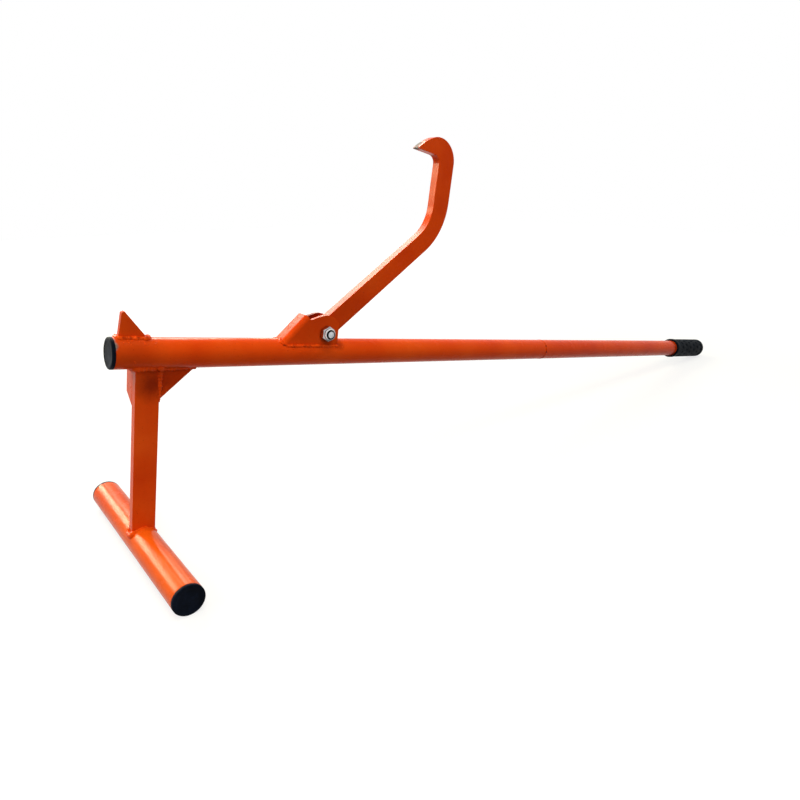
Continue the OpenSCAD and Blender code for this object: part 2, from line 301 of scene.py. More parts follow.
# the bands are (share of 25 mm out from the handle's middle plane, how much painted shade)
nutLook = {"bands": [(0.48, 0.75), (0.56, 0.45), (0.7, 0.1), (0.74, 0.5), (0.79, 0.5), (0.83, 0)],
           "bandScale": -40, "creaseShade": 0.55, "down": Vector((0.55, 0, -0.83)), "start": -0.003, "stop": 0.004,
           "sideShade": 0.85}


def nutSteel():  # bright zinc with painted shade on the faces near the bracket and in the groove below the collar, and on its lower right side
    material, tree, shader, coords = nodeMaterial("nutSteel")
    split = addNode(tree, "ShaderNodeSeparateXYZ", {0: coords})
    depth = calc(tree, "MULTIPLY", split.outputs["Y"], nutLook["bandScale"])
    shadeBands = ramp(tree, depth, [(at, grey(amount)) for at, amount in nutLook["bands"]])
    patches = mottled(tree, noise(tree, coords, 230, 4, 0.65), grey(0), grey(1), 0.38, 0.62)
    creaseShade = mixColour(tree, nutLook["creaseShade"], shadeBands, patches, "MULTIPLY")
    clean = mottled(tree, noise(tree, coords, 160, 4), linear("#BDBDC2"), linear("#F2F0F0"))
    # painted shade: the nut turns darker towards its lower right side
    middle = nutLook["down"].dot(toRow(pivot["x"], 0, pivot["z"]))
    fall = vectorCalc(tree, "DOT_PRODUCT", coords, nutLook["down"], "Value")
    sideShadeMask = mapRange(tree, fall, middle + nutLook["start"], middle + nutLook["stop"], 0, nutLook["sideShade"])
    sideShadedZinc = mixColour(tree, sideShadeMask, clean, linear("#4A4546"))
    colour = mixColour(tree, creaseShade, sideShadedZinc, linear("#3B3634"))
    fine = bump(tree, noise(tree, coords, 700, 2), 0.15, 0.0003)
    fill(tree, shader, {"Base Color": colour, "Roughness": 0.18, "Normal": fine, "Metallic": 1})
    return material


def boltSteel():  # the thread round the bolt's end is dark, partly with oil and partly as painted shade in its grooves
    material, tree, shader, coords = nodeMaterial("boltSteel")
    flat = vectorCalc(tree, "MULTIPLY", coords, (1, 0, 1))
    away = vectorCalc(tree, "DISTANCE", flat, toRow(pivot["x"], 0, pivot["z"]), "Value")
    ring = [(0.37, grey(0)), (0.4, grey(1)), (0.52, grey(1)), (0.55, grey(0))]
    oilAndShade = ramp(tree, calc(tree, "MULTIPLY", away, 100), ring)
    clean = mottled(tree, noise(tree, coords, 200, 3), linear("#9EA3AA"), linear("#C9CDD3"))
    colour = mixColour(tree, oilAndShade, clean, linear("#17181A"))
    fill(tree, shader, {"Base Color": colour, "Roughness": 0.32, "Metallic": 1})
    return material


def blackPolymer(name, base, dusty, roughness, grain, scale, specular):
    material, tree, shader, coords = nodeMaterial(name)
    dust = mottled(tree, noise(tree, coords, 45, 5, 0.6), linear(base), linear(dusty), 0.42, 0.8)
    rough = mottled(tree, noise(tree, coords, 80, 3), grey(roughness - 0.07), grey(roughness + 0.1))
    fine = bump(tree, noise(tree, coords, scale, 3, 0.6), grain, 0.0004)
    fill(tree, shader, {"Base Color": dust, "Roughness": rough, "Normal": fine,
                        "Specular IOR Level": specular})
    return material


# the paint is darker and redder in painted shade under the handle on the post and the gusset, over the tooth
# and the bracket's near cheek, inside the bracket, round the nut and in the nut's painted shadow; two small
# spots by the foot's weld and the tooth's front end are darker too
paintedShadeAndDarkSpots = [((37, -5, -32), 4, 22, 0.8), ((60, -3, -26), 6, 24, 0.45), ((33, -10, -194), 1, 9, 0.3),
            ((31, -6, 16), 0.5, 5, 0.8), ((18, -3, 26), 5, 26, 0.2), ((225, -12, 30), 10, 50, 0.2),
            ((228, 6, 44), 8, 15, 0.9), ((257, -13, 11), 1, 9, 0.6), ((237, -18, 23), 9, 13, 0.6)]
# grease spots in the joint of the two tubes
seamDirt = [((676, -13.7, 8.2), 0.8, 2.6, 0.9), ((676.5, -15.9, -1.4), 0.8, 2.6, 0.9),
            ((675, -13, -9.3), 0.8, 2.8, 0.8), ((677, -4, 15.5), 0.5, 2.2, 0.7),
            ((676, 12, 10), 0.8, 2.6, 0.8), ((676, 6, -14.8), 0.8, 2.6, 0.8)]
headDirt = [((14, -14, 7), 10, 36, 0.3)]
# painted shade of the grip's collar on the upper tube's end
gripCollarShade = [((1142, -15, 5), 2, 11, 0.55), ((1142, -12, -11), 2, 11, 0.55), ((1142, -6, 15), 2, 9, 0.45)]
# painted shade over the hook, strongest next to its pivot
hookShade = [((pivot["x"] + 18, -5, pivot["z"] + 16), 15, 105, 0.3)]
# on the welds' paint: the first spot is painted shade on the post's weld under the handle, the second a dark
# speck at the tooth weld's end
weldSootAndShade = [((39, -5, -20), 2, 12, 0.5), ((12, -6, 16), 1, 5, 0.4)]
for x in (9, 16, 23, 31):  # specks along the tooth's weld, then along the bracket's
    weldSootAndShade.append(((x, -5.5, 15.5 + (x % 2)), 0.6, 2.6, 0.75))
for x in (181, 193, 208, 214, 229):
    weldSootAndShade.append(((x, -13.5, 9.5), 0.8, 3.4, 0.45))
# bare steel where the paint is chipped at the head end; the second patch, above it, is a painted highlight
# along the tube's rim
headBareAndHighlight = [((-3, -12, 9), 4.0, 6.5), ((-3, -7.5, 14), 2.5, 5.0)]
hookBare = [(clawTip, 3.0, 7.0), ((357, 4, 263), 4.0, 9.0)]

paint = orangeEnamel("orangeEnamel", dirtAndShade=paintedShadeAndDarkSpots)
weldPaint = orangeEnamel("orangeEnamelOverWeld", peel=3.0, dents=0.3, dirtAndShade=weldSootAndShade)
tubePaint = orangeEnamel("orangeEnamelTube", dirtAndShade=paintedShadeAndDarkSpots + seamDirt + headDirt, bareAndHighlight=headBareAndHighlight)
upperPaint = orangeEnamel("orangeEnamelUpper", dirtAndShade=seamDirt + gripCollarShade)
# the foot's paint takes the yellower tones, a painted warm light
footPaint = orangeEnamel("orangeEnamelFoot", dirtAndShade=paintedShadeAndDarkSpots, tones="litTones")
hookPaint = orangeEnamel("orangeEnamelHook", dirtAndShade=hookShade, bareAndHighlight=hookBare)
zinc = metalFinish("brightZinc", "#A7ABB3", "#E9EBEF", 0.2, 0.12)
threadSteel = boltSteel()
nutZinc = nutSteel()
sleeveSteel = metalFinish("sleeveSteel", "#3A2A24", "#6B5A52", 0.5, 0.2)
plugPlastic = blackPolymer("plugPlastic", "#070B14", "#1A2337", 0.5, 0.18, 1400, 0.03)
gripRubber = blackPolymer("gripRubber", "#04080E", "#121922", 0.58, 0.22, 1100, 0.04)
nylon = blackPolymer("nutNylon", "#060608", "#121317", 0.5, 0.1, 1200, 0.1)
print("materials made")

camera = {"place": (-0.76758, -0.61118, 0.37745), "turn": -39.687, "pitch": 70.299, "roll": 0.044,
          "lens": 27.09, "sensor": 36, "clip": 0.01}
lens = bpy.data.cameras.new("photoCamera")
lens.lens = camera["lens"]
lens.sensor_width = camera["sensor"]
lens.clip_start = camera["clip"]
eye = bpy.data.objects.new("photoCamera", lens)
scene.collection.objects.link(eye)
eye.matrix_world = (Matrix.Translation(camera["place"])
                    @ Matrix.Rotation(math.radians(camera["turn"]), 4, "Z")
                    @ Matrix.Rotation(math.radians(camera["pitch"]), 4, "X")
                    @ Matrix.Rotation(math.radians(camera["roll"]), 4, "Z"))
scene.camera = eye

# ends and seamLip are (rounding, how far the painted lip swells)
handle = {"radius": 16.0, "wall": 2.5, "length": 1270.0, "seam": 676.0, "gap": 0.75, "ends": (0.4, 0),
          "seamLip": (0.7, 0.3)}
tubeSkin = {"steps": 128, "rings": 24, "boreCut": 0.4, "swellReach": 3, "guard": 0.6}


def tubePiece(name, node, size, reach, lips, place, material):  # reach and lips are for its two ends
    start, stop = reach
    radius = size["radius"]
    bore = radius - size["wall"]
    (roundA, swellA), (roundB, swellB) = lips
    cutA, cutB = roundA * tubeSkin["boreCut"], roundB * tubeSkin["boreCut"]
    flatA, flatB = start + roundA * tubeSkin["swellReach"], stop - roundB * tubeSkin["swellReach"]
    profile = [(start + roundA, bore), (start, bore + cutA)]
    profile += roundCorner((start + roundA, radius + swellA - roundA), roundA, 180, 90)
    profile += [(flatA, radius), (flatA + tubeSkin["guard"], radius)]
    profile += [(along, radius) for along in span(start, stop, tubeSkin["rings"])[1:-1]]
    profile += [(flatB - tubeSkin["guard"], radius), (flatB, radius)]
    profile += roundCorner((stop - roundB, radius + swellB - roundB), roundB, 90, 0)
    profile += [(stop, bore + cutB), (stop - roundB, bore)]
    piece = lathe(name, profile, place, tubeSkin["steps"], closed=True, angle=50)
    finishPiece(piece, "lever", [node], material)


tubePiece("lowerTubeSkin", "lower_tube", handle, (0, handle["seam"] - handle["gap"]),
          (handle["ends"], handle["seamLip"]), toRow, tubePaint)
tubePiece("upperTubeSkin", "upper_tube", handle, (handle["seam"] + handle["gap"], handle["length"]),
          (handle["seamLip"], handle["ends"]), toRow, upperPaint)
tubePiece("footTubeSkin", "foot_tube", foot, (-foot["length"] / 2, foot["length"] / 2),
          (foot["ends"], foot["ends"]), alongFoot, footPaint)
print("tubes made")

plug = {"flange": 3.5, "rounding": 1.5, "barrel": 16.0, "wall": 2.0, "fit": 0.05, "lead": 0.6, "edge": 0.3,
        "dish": 0.35, "dishRim": 4.0, "dishSlope": 0.8}


def closedPlug(name, node, size, place):  # along is zero at the tube's end and positive outwards
    radius = size["radius"]
    barrel = radius - size["wall"] - plug["fit"]
    inner = barrel - plug["wall"]
    face = plug["flange"]
    sunk = face - plug["dish"]
    edge = plug["edge"]
    rim = radius - plug["rounding"]
    dish = radius - plug["dishRim"]
    floor = dish - plug["dishSlope"]
    profile = [(0, 0), (0, inner), (-plug["barrel"], inner), (-plug["barrel"], barrel - plug["lead"]),
               (plug["lead"] - plug["barrel"], barrel), (-0.4, barrel), (0, barrel + edge),
               (0, radius - edge)]
    profile += roundCorner((edge, radius - edge), edge, 180, 90, 3)[1:]
    profile += roundCorner((face - plug["rounding"], rim), plug["rounding"], 90, 20)
    profile += [(face, rim - 0.4), (face, dish + 0.5), (face - plug["dish"] * 0.3, dish), (sunk, floor)]
    for k in range(1, 6):
        r = floor * (1 - k / 5)
        profile.append((sunk + plug["dish"] * 0.7 * (1 - (r / radius) ** 2), r))
    piece = lathe(name, profile, place, steps=96, closed=False, angle=40)
    finishPiece(piece, "lever", [node], plugPlastic)


closedPlug("headPlug", "head_plug", handle, lambda along, a, b: toRow(-along, a, b))
closedPlug("footPlugFront", "foot_plug_front", foot,
           lambda along, a, b: alongFoot(-foot["length"] / 2 - along, a, b))
closedPlug("footPlugBack", "foot_plug_back", foot,
           lambda along, a, b: alongFoot(foot["length"] / 2 + along, a, b))
print("plugs made")

plates = {
    "tooth": {"node": "tooth", "bevel": 0.7},
    "legPost": {"node": "leg_post", "bevel": 1.2},
    "legGusset": {"node": "leg_gusset", "bevel": 0.6},
    "rearGusset": {"node": "rear_gusset", "bevel": 1.0},
    "hookBracket": {"node": "hook_bracket", "bevel": 0.6},
    "hook": {"node": "hook", "bevel": 0.7},
}


def steadyNormals(piece):  # each corner's shading follows its largest face, so that flat faces look flat
    mesh = piece.data
    bm = bmesh.new()
    bm.from_mesh(mesh)
    bmesh.ops.remove_doubles(bm, verts=bm.verts, dist=2 * tiny)  # the bevel leaves slivers where it runs out
    bmesh.ops.dissolve_degenerate(bm, edges=bm.edges, dist=2 * tiny)
    bm.to_mesh(mesh)
    bm.free()
    sums = [Vector() for vertex in mesh.vertices]
    for face in mesh.polygons:
        for v in face.vertices:
            sums[v] += face.normal * (face.area / mm / mm) ** 2
    mesh.normals_split_custom_set_from_vertices([tuple(n.normalized()) for n in sums])
    return piece


def softCopy(name, node, bevel):  # a merged copy of a CAD node with its edges rounded as paint leaves them
    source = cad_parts[node]
    bm = bmesh.new()
    bm.from_mesh(source.data)
    bm.transform(source.matrix_world)
    bmesh.ops.remove_doubles(bm, verts=bm.verts, dist=tiny)
    bmesh.ops.dissolve_limit(bm, angle_limit=math.radians(0.6), verts=bm.verts, edges=bm.edges)
    piece = addPiece(name, bm, 180)
    edge = piece.modifiers.new("edgeRound", "BEVEL")
    edge.width = bevel * mm
    edge.segments = 3
    edge.limit_method = "ANGLE"
    edge.angle_limit = math.radians(28)
    return steadyNormals(plainMesh(piece))


for pieceName, plate in plates.items():
    piece = softCopy(pieceName + "Plate", plate["node"], plate["bevel"])
    body, plateMaterial = ("hook", hookPaint) if pieceName == "hook" else ("lever", paint)
    finishPiece(piece, body, [plate["node"]], plateMaterial)
print("plates made")

# the nut's outer end is towards the viewer, and cheek is how far out the bracket's side is
bolt = {"radius": 5.0, "cheek": 12.0, "headHeight": 6.4, "across": 16.0, "over": 1.6, "endFace": 3.7,
        "endEdge": 3.9, "pitch": 1.5, "threadDepth": 0.6, "crest": (0.4, 0.55), "root": 0.95, "fillet": 0.3,
        "face": 0.4, "faceDepth": 0.5, "headCore": 0.01}
nut = {"across": 16.0, "height": 10.0, "bore": 5.05, "collar": 3.0, "collarInner": 6.2, "collarOuter": 7.0,
       "collarRound": 1.2, "lipRound": 0.5, "lipSet": 0.3, "overlap": 0.5}
insert = {"sunk": 0.9, "rimSunk": 0.8, "rise": 0.6, "round": 0.4}
hexCut = {"steps": 72, "slope": math.tan(math.radians(30)), "faceInset": 0.4, "height": 0.15}


def hexSolid(name, across, start, stop, bore, cutStop):
    # a hexagon whose corners are cut by a cone at its start, and at its stop where cutStop says so
    flat = across / 2
    inset = flat - hexCut["faceInset"]
    # a ring is (distance along, its radius or nothing for the hexagon's outline, side that the cone is on)
    rings = [(start, bore, 0), (start, inset, 0), (start + hexCut["height"], None, 1)]
    if cutStop:
        rings += [(stop - hexCut["height"], None, -1), (stop, inset, 0)]
    else:
        rings.append((stop, None, 0))
    rings.append((stop, bore, 0))
    bm = bmesh.new()
    loops = []
    for along, radius, side in rings:
        loop = []
        for k in range(hexCut["steps"]):
            angle = 360 * k / hexCut["steps"]
            outline = flat / math.cos(math.radians((angle + 30) % 60 - 30))
            r = radius or outline
            a = math.radians(angle)
            cone = side * (outline - flat) * hexCut["slope"]
            loop.append(bm.verts.new(alongPivot(along + cone, r * math.cos(a), r * math.sin(a))))
        loops.append(loop)
    for one, two in zip(loops, loops[1:] + loops[:1]):
        for k in range(hexCut["steps"]):
            j = (k + 1) % hexCut["steps"]
            bm.faces.new((one[k], one[j], two[j], two[k]))
    bmesh.ops.recalc_face_normals(bm, faces=bm.faces)
    return addPiece(name, bm, 25)


nutEnd = bolt["cheek"] + nut["height"]
hexEnd = nutEnd - nut["collar"]
nutHex = hexSolid("nutHex", nut["across"], bolt["cheek"], hexEnd, nut["bore"], True)
collarRim = nut["collarOuter"] - nut["collarRound"]
collarLip = (nutEnd - nut["lipSet"], nut["collarInner"] + nut["lipRound"])
collarProfile = [(hexEnd - nut["overlap"], nut["collarInner"]), (nutEnd - 0.4, nut["collarInner"])]
collarProfile += roundCorner(collarLip, nut["lipRound"], -100, 10, 4)
collarProfile += roundCorner((nutEnd - nut["collarRound"], collarRim), nut["collarRound"], 0, 90)
collarProfile += [(hexEnd - nut["overlap"], nut["collarOuter"])]
nutCollar = lathe("nutCollar", collarProfile, alongPivot, steps=72, closed=True, angle=40)
lockNut = join("lockNut", [nutHex, nutCollar], 28)
finishPiece(lockNut, "lever", ["lock_nut"], nutZinc)

ringEnd = nutEnd - insert["sunk"]
ringProfile = [(hexEnd, nut["bore"]), (ringEnd, nut["bore"])]
ringProfile += roundCorner((ringEnd, bolt["radius"] + insert["rise"]), insert["round"], -60, 60, 4)
ringProfile += [(nutEnd - insert["rimSunk"], nut["collarInner"]), (hexEnd, nut["collarInner"])]
nutRing = lathe("nylonRing", ringProfile, alongPivot, steps=72, closed=True, angle=40)
finishPiece(nutRing, "lever", ["nut_insert"], nylon)

shankEnd = nutEnd + bolt["over"]
headFace = -bolt["cheek"]
core = bolt["radius"] - bolt["threadDepth"]
crestStart, crestStop = [bolt["pitch"] * share for share in bolt["crest"]]
shankProfile = [(shankEnd, 0), (shankEnd, bolt["endFace"]), (shankEnd - 0.2, bolt["endEdge"]),
                (shankEnd - 1.0, core)]
along = shankEnd - 1.3
while along > hexEnd - 3:
    shankProfile += [(along, core), (along - crestStart, bolt["radius"]), (along - crestStop, bolt["radius"]),
                     (along - bolt["pitch"] * bolt["root"], core)]
    along -= bolt["pitch"]
shankProfile += [(along, bolt["radius"]), (headFace + 0.4, bolt["radius"]),
                 (headFace, bolt["radius"] + bolt["fillet"]), (headFace - 1, bolt["radius"]),
                 (headFace - 1, 0)]
shank = lathe("boltShank", shankProfile, alongPivot, steps=64, closed=False, angle=30)
head = hexSolid("boltHead", bolt["across"], headFace - bolt["headHeight"], headFace - bolt["face"],
                bolt["headCore"], False)
faceRadius = bolt["across"] / 2 - bolt["face"]
faceProfile = [(headFace, 0), (headFace, faceRadius), (headFace - bolt["faceDepth"], faceRadius),
               (headFace - bolt["faceDepth"], 0)]
washerFace = lathe("boltFace", faceProfile, alongPivot, steps=72, closed=False, angle=30)
boltPiece = join("pivotBoltSolid", [shank, head, washerFace], 28)
finishPiece(boltPiece, "lever", ["pivot_bolt"], threadSteel)

coat(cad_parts["friction_washer_front"].data, zinc)
coat(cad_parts["friction_washer_back"].data, zinc)
coat(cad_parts["seam_sleeve"].data, sleeveSteel)
print("bolt and nut made")


def openTree(name, source, product, kinds):  # a tree with named inputs, and the identifiers of those inputs
    tree = bpy.data.node_groups.new(name, "GeometryNodeTree")
    face = tree.interface
    face.new_socket(source, in_out="INPUT", socket_type="NodeSocketGeometry")
    sockets = {}
    for label, kind in (*kinds.items(), ("Material", "Material")):
        sockets[label] = face.new_socket(label, in_out="INPUT", socket_type="NodeSocket" + kind).identifier
    face.new_socket(product, in_out="OUTPUT", socket_type="NodeSocketGeometry")
    return tree, addNode(tree, "NodeGroupInput").outputs, sockets


def closeTree(tree, given, shape):  # every tree ends with plain geometry in one material
    real = addNode(tree, "GeometryNodeRealizeInstances", {0: shape})
    coloured = addNode(tree, "GeometryNodeSetMaterial", {0: real.outputs[0], "Material": given["Material"]})
    addNode(tree, "NodeGroupOutput", {0: coloured.outputs[0]})


def addModifier(piece, tree, sockets, values):
    modifier = piece.modifiers.new(tree.name, "NODES")
    modifier.node_group = tree
    for label, value in values.items():
        modifier[sockets[label]] = value


grip = {"start": 1148.0, "length": 128.0, "bore": 16.05, "collar": 9.0, "collarRadius": 19.9, "lip": 0.8,
        "shoulder": 0.6, "bodyRadius": 19.3, "step": 0.7, "ring": 117.0, "ringDepth": 0.5, "ringWidth": 0.8,
        "round": 4.0, "capDepth": 6.0}
dimples = {"Pitch": 17.5, "Per Ring": 12.0, "Half Length": 6.2, "Half Width": 3.1, "Depth": 1.0,
           "First": 1162.0, "Last": 1265.0}


def gripProfile():
    end = grip["start"] + grip["length"]
    points = [(grip["start"] + 0.4, grip["bore"])]
    lip = grip["lip"]
    points += roundCorner((grip["start"] + lip, grip["collarRadius"] - lip), lip, 180, 90, 4)
    top = grip["start"] + grip["collar"]
    shoulder = grip["shoulder"]
    points += roundCorner((top - shoulder, grip["collarRadius"] - shoulder), shoulder, 90, 20, 3)
    points.append((top + 0.3, grip["bodyRadius"]))
    along = top + 1.0
    while along < end - grip["round"]:  # with a thin line pressed in near the end
        away = (along - grip["start"] - grip["ring"]) / grip["ringWidth"]
        points.append((along, grip["bodyRadius"] - grip["ringDepth"] * math.exp(-away ** 2)))
        along += grip["step"]
    capRadius = grip["bodyRadius"] - grip["round"]
    points += roundCorner((end - grip["round"], capRadius), grip["round"], 90, 0, 10)
    points += [(end, capRadius * k / 4) for k in (3, 2, 1, 0)]
    points += [(end - grip["capDepth"], 0), (end - grip["capDepth"], grip["bore"])]
    return points


def dimpleTree():  # presses staggered oval dimples into a skin round the handle's axis
    tree, given, sockets = openTree("gripDimples", "Skin", "Grip", dict.fromkeys(dimples, "Float"))

    def work(operation, *values):
        return calc(tree, operation, *values)

    def dot(vector, axis):
        return vectorCalc(tree, "DOT_PRODUCT", vector, axis, "Value")

    start = toRow(0, 0, 0)
    axis = toRow(1000, 0, 0) - start
    up = toRow(0, 0, 1000) - start
    front = (0, -1, 0)
    place = addNode(tree, "GeometryNodeInputPosition").outputs[0]
    normal = addNode(tree, "GeometryNodeInputNormal").outputs[0]
    shifted = vectorCalc(tree, "SUBTRACT", place, start)
    above = dot(shifted, up)
    before = dot(shifted, front)
    along = work("MULTIPLY", dot(shifted, axis), 1000)
    turn = work("ARCTAN2", above, before)
    column = work("DIVIDE", work("SUBTRACT", along, given["First"]), given["Pitch"])
    stagger = work("MULTIPLY", work("MODULO", work("FLOOR", column), 2), 0.5)
    row = work("ADD", work("MULTIPLY", work("DIVIDE", turn, 2 * math.pi), given["Per Ring"]), stagger)
    acrossRow = work("SUBTRACT", work("FRACT", row), 0.5)
    acrossColumn = work("SUBTRACT", work("FRACT", column), 0.5)
    girth = work("DIVIDE", 2 * math.pi * grip["bodyRadius"], given["Per Ring"])
    a = work("DIVIDE", work("MULTIPLY", acrossColumn, given["Pitch"]), given["Half Length"])
    b = work("DIVIDE", work("MULTIPLY", acrossRow, girth), given["Half Width"])
    far = work("SQRT", work("ADD", work("MULTIPLY", a, a), work("MULTIPLY", b, b)))
    bowl = mapRange(tree, far, 0.55, 1, 1, 0, "SMOOTHSTEP")
    past = work("GREATER_THAN", along, given["First"])
    within = work("MULTIPLY", past, work("LESS_THAN", along, given["Last"]))
    # only the outer skin is pressed, not the bore
    rising = work("MULTIPLY", dot(normal, up), above)
    facing = work("ADD", rising, work("MULTIPLY", dot(normal, front), before))
    pressed = work("MULTIPLY", work("MULTIPLY", bowl, within), work("GREATER_THAN", facing, 0.005))
    depth = work("MULTIPLY", work("MULTIPLY", pressed, given["Depth"]), -mm)
    move = addNode(tree, "ShaderNodeVectorMath", {0: normal, "Scale": depth}, operation="SCALE")
    shaped = addNode(tree, "GeometryNodeSetPosition", {"Geometry": given["Skin"], "Offset": move.outputs[0]})
    closeTree(tree, given, shaped.outputs[0])
    return tree, sockets


gripPiece = lathe("handGrip", gripProfile(), toRow, steps=168, closed=True, angle=40)
addModifier(gripPiece, *dimpleTree(), {**dimples, "Material": gripRubber})
gripPiece = plainMesh(gripPiece)
shade(gripPiece, 60)
finishPiece(gripPiece, "lever", ["grip"], gripRubber)
print("grip made")


beadShape = {"step": 0.00045, "sides": 14, "wobbleScale": 170, "driftScale": 420, "phaseDrift": 1.2,
             "crown": 0.4, "least": 0.86, "unevenness": 0.9}


def beadTree():  # sweeps a rippled bead along a path
    kinds = dict.fromkeys(("Bead Radius", "Ripple Pitch", "Ripple Depth", "Wander"), "Float")
    tree, given, sockets = openTree("weldBead", "Path", "Bead", {**kinds, "Seed": "Int"})

    def work(operation, *values):
        return calc(tree, operation, *values)

    def seeded(inputs):
        inputs = {"Vector": place, "W": given["Seed"], **inputs}
        return addNode(tree, "ShaderNodeTexNoise", inputs, noise_dimensions="4D").outputs

    path = {"Curve": given["Path"], "Length": beadShape["step"]}
    even = addNode(tree, "GeometryNodeResampleCurve", path, mode="LENGTH")
    place = addNode(tree, "GeometryNodeInputPosition").outputs[0]
    where = addNode(tree, "GeometryNodeSplineParameter")
    ripples = work("DIVIDE", where.outputs["Length"], given["Ripple Pitch"])
    wobble = seeded({"Scale": beadShape["wobbleScale"], "Detail": 1})["Fac"]
    phase = work("FRACT", work("ADD", ripples, work("MULTIPLY", wobble, beadShape["phaseDrift"])))
    fall = work("ABSOLUTE", work("SUBTRACT", phase, beadShape["crown"]))
    swell = work("MULTIPLY", work("POWER", work("SUBTRACT", 1, fall), 2), given["Ripple Depth"])
    uneven = work("MULTIPLY", work("SUBTRACT", wobble, 0.5), beadShape["unevenness"])
    factor = work("ADD", work("ADD", beadShape["least"], swell), uneven)
    taper = addNode(tree, "GeometryNodeInputRadius").outputs[0]
    radius = work("MULTIPLY", work("MULTIPLY", factor, given["Bead Radius"]), taper)
    ring = addNode(tree, "GeometryNodeCurvePrimitiveCircle", {"Resolution": beadShape["sides"], "Radius": 1})
    swept = addNode(tree, "GeometryNodeCurveToMesh", {
        "Curve": even.outputs[0], "Profile Curve": ring.outputs[0], "Scale": radius, "Fill Caps": True})
    centred = vectorCalc(tree, "SUBTRACT", seeded({"Scale": beadShape["driftScale"]})["Color"], grey(0.5))
    drift = addNode(tree, "ShaderNodeVectorMath", {0: centred, "Scale": given["Wander"]}, operation="SCALE")
    moved = addNode(tree, "GeometryNodeSetPosition", {
        "Geometry": swept.outputs[0], "Offset": drift.outputs[0]})
    smooth = addNode(tree, "GeometryNodeSetShadeSmooth", {0: moved.outputs[0]})
    closeTree(tree, given, smooth.outputs[0])
    return tree, sockets


def spatterTree():  # small drops of metal on loose points
    kinds = {"Smallest": "Float", "Largest": "Float", "Seed": "Int"}
    tree, given, sockets = openTree("weldSpatter", "Spots", "Spatter", kinds)
    points = addNode(tree, "GeometryNodeMeshToPoints", {0: given["Spots"]})
    drop = addNode(tree, "GeometryNodeMeshIcoSphere", {"Radius": 1, "Subdivisions": 2})
    limits = {2: given["Smallest"], 3: given["Largest"], "Seed": given["Seed"]}
    size = addNode(tree, "FunctionNodeRandomValue", limits)
    placed = addNode(tree, "GeometryNodeInstanceOnPoints", {
        "Points": points.outputs[0], "Instance": drop.outputs[0], "Scale": size.outputs[1]})
    smooth = addNode(tree, "GeometryNodeSetShadeSmooth", {0: placed.outputs[0]})
    closeTree(tree, given, smooth.outputs[0])
    return tree, sockets


beadNodes = beadTree()
spatterNodes = spatterTree()
drops = {"Smallest": 0.35 * mm, "Largest": 0.85 * mm}


def spatter(name, spots, seed):
    mesh = bpy.data.meshes.new(name)
    mesh.from_pydata([toRow(*spot) for spot in spots], [], [])
    piece = bpy.data.objects.new(name, mesh)
    scene.collection.objects.link(piece)
    addModifier(piece, *spatterNodes, {**drops, "Seed": seed, "Material": weldPaint})
    return plainMesh(piece)


def weldBead(name, node, weld, path, loop, sizes=None, spots=()):
    # sizes are shares of the bead's radius at the path's points
    curve = bpy.data.curves.new(name, "CURVE")
    curve.dimensions = "3D"
    spline = curve.splines.new("POLY")
    spline.points.add(len(path) - 1)
    for k, (point, spot) in enumerate(zip(spline.points, path)):
        point.co = (*toRow(*spot), 1)
        point.radius = sizes[k] if sizes else 1
    spline.use_cyclic_u = loop
    piece = bpy.data.objects.new(name, curve)
    scene.collection.objects.link(piece)
    addModifier(piece, *beadNodes, {
        "Bead Radius": weld["radius"] * mm, "Ripple Pitch": weld["pitch"] * mm, "Ripple Depth": weld["depth"],
        "Wander": weld["wander"] * mm, "Seed": weld["seed"], "Material": weldPaint})
    piece = plainMesh(piece)
    if spots:
        piece = join(name, [piece, spatter(name + "Drops", spots, weld["seed"])], 30)
    shade(piece, 80)
    finishPiece(piece, "lever", [node], weldPaint)


def onTube(x, y, sign, sunk=0.0):  # a point on the handle tube, above (1) or below (-1) its axis
    r = handle["radius"] - sunk
    return (x, y, sign * math.sqrt(max(r * r - y * y, 0)))


def tubeSpots(weld, sign):  # spatter on the handle near a weld
    luck = random.Random(weld["seed"])
    count, xRange, yRange = weld["spots"]
    return [onTube(luck.uniform(*xRange), luck.uniform(*yRange), sign, 0.1) for _ in range(count)]


def roundPlate(left, right, side, weld):  # a loop of (x, y) round the foot of a plate
    overrun = 0.5
    ends = weld["ends"]
    loop = [(x, -side) for x in span(left - overrun, right + overrun)]
    loop += [(right + weld["beyond"][1], y) for y in (-ends, 0, ends)]
    loop += [(x, side) for x in span(right + overrun, left - overrun)]
    return loop + [(left - weld["beyond"][0], y) for y in (ends, 0, -ends)]


tooth = {"start": 5.2, "stop": 32.2, "half": 3.0}
toothWeld = {"radius": 2.6, "seed": 3, "pitch": 3.4, "depth": 0.2, "wander": 2.4, "sunk": 0.2, "endSunk": 0.3,
             "beside": 1.7, "beyond": (1.2, 1.4), "ends": 2.2, "spots": (26, (2.5, 42), (-12, -5))}
toothSide = tooth["half"] + toothWeld["beside"]
toothPath = []
for x, y in roundPlate(tooth["start"], tooth["stop"], toothSide, toothWeld):
    sunk = toothWeld["sunk"] if abs(y) == toothSide else toothWeld["endSunk"]
    toothPath.append(onTube(x, y, 1, sunk))
toothSpots = tubeSpots(toothWeld, 1) + [onTube(100.5, -13.5, 1, 0.2)]  # and one stray drop
weldBead("toothWeldBead", "tooth_weld", toothWeld, toothPath, True, spots=toothSpots)

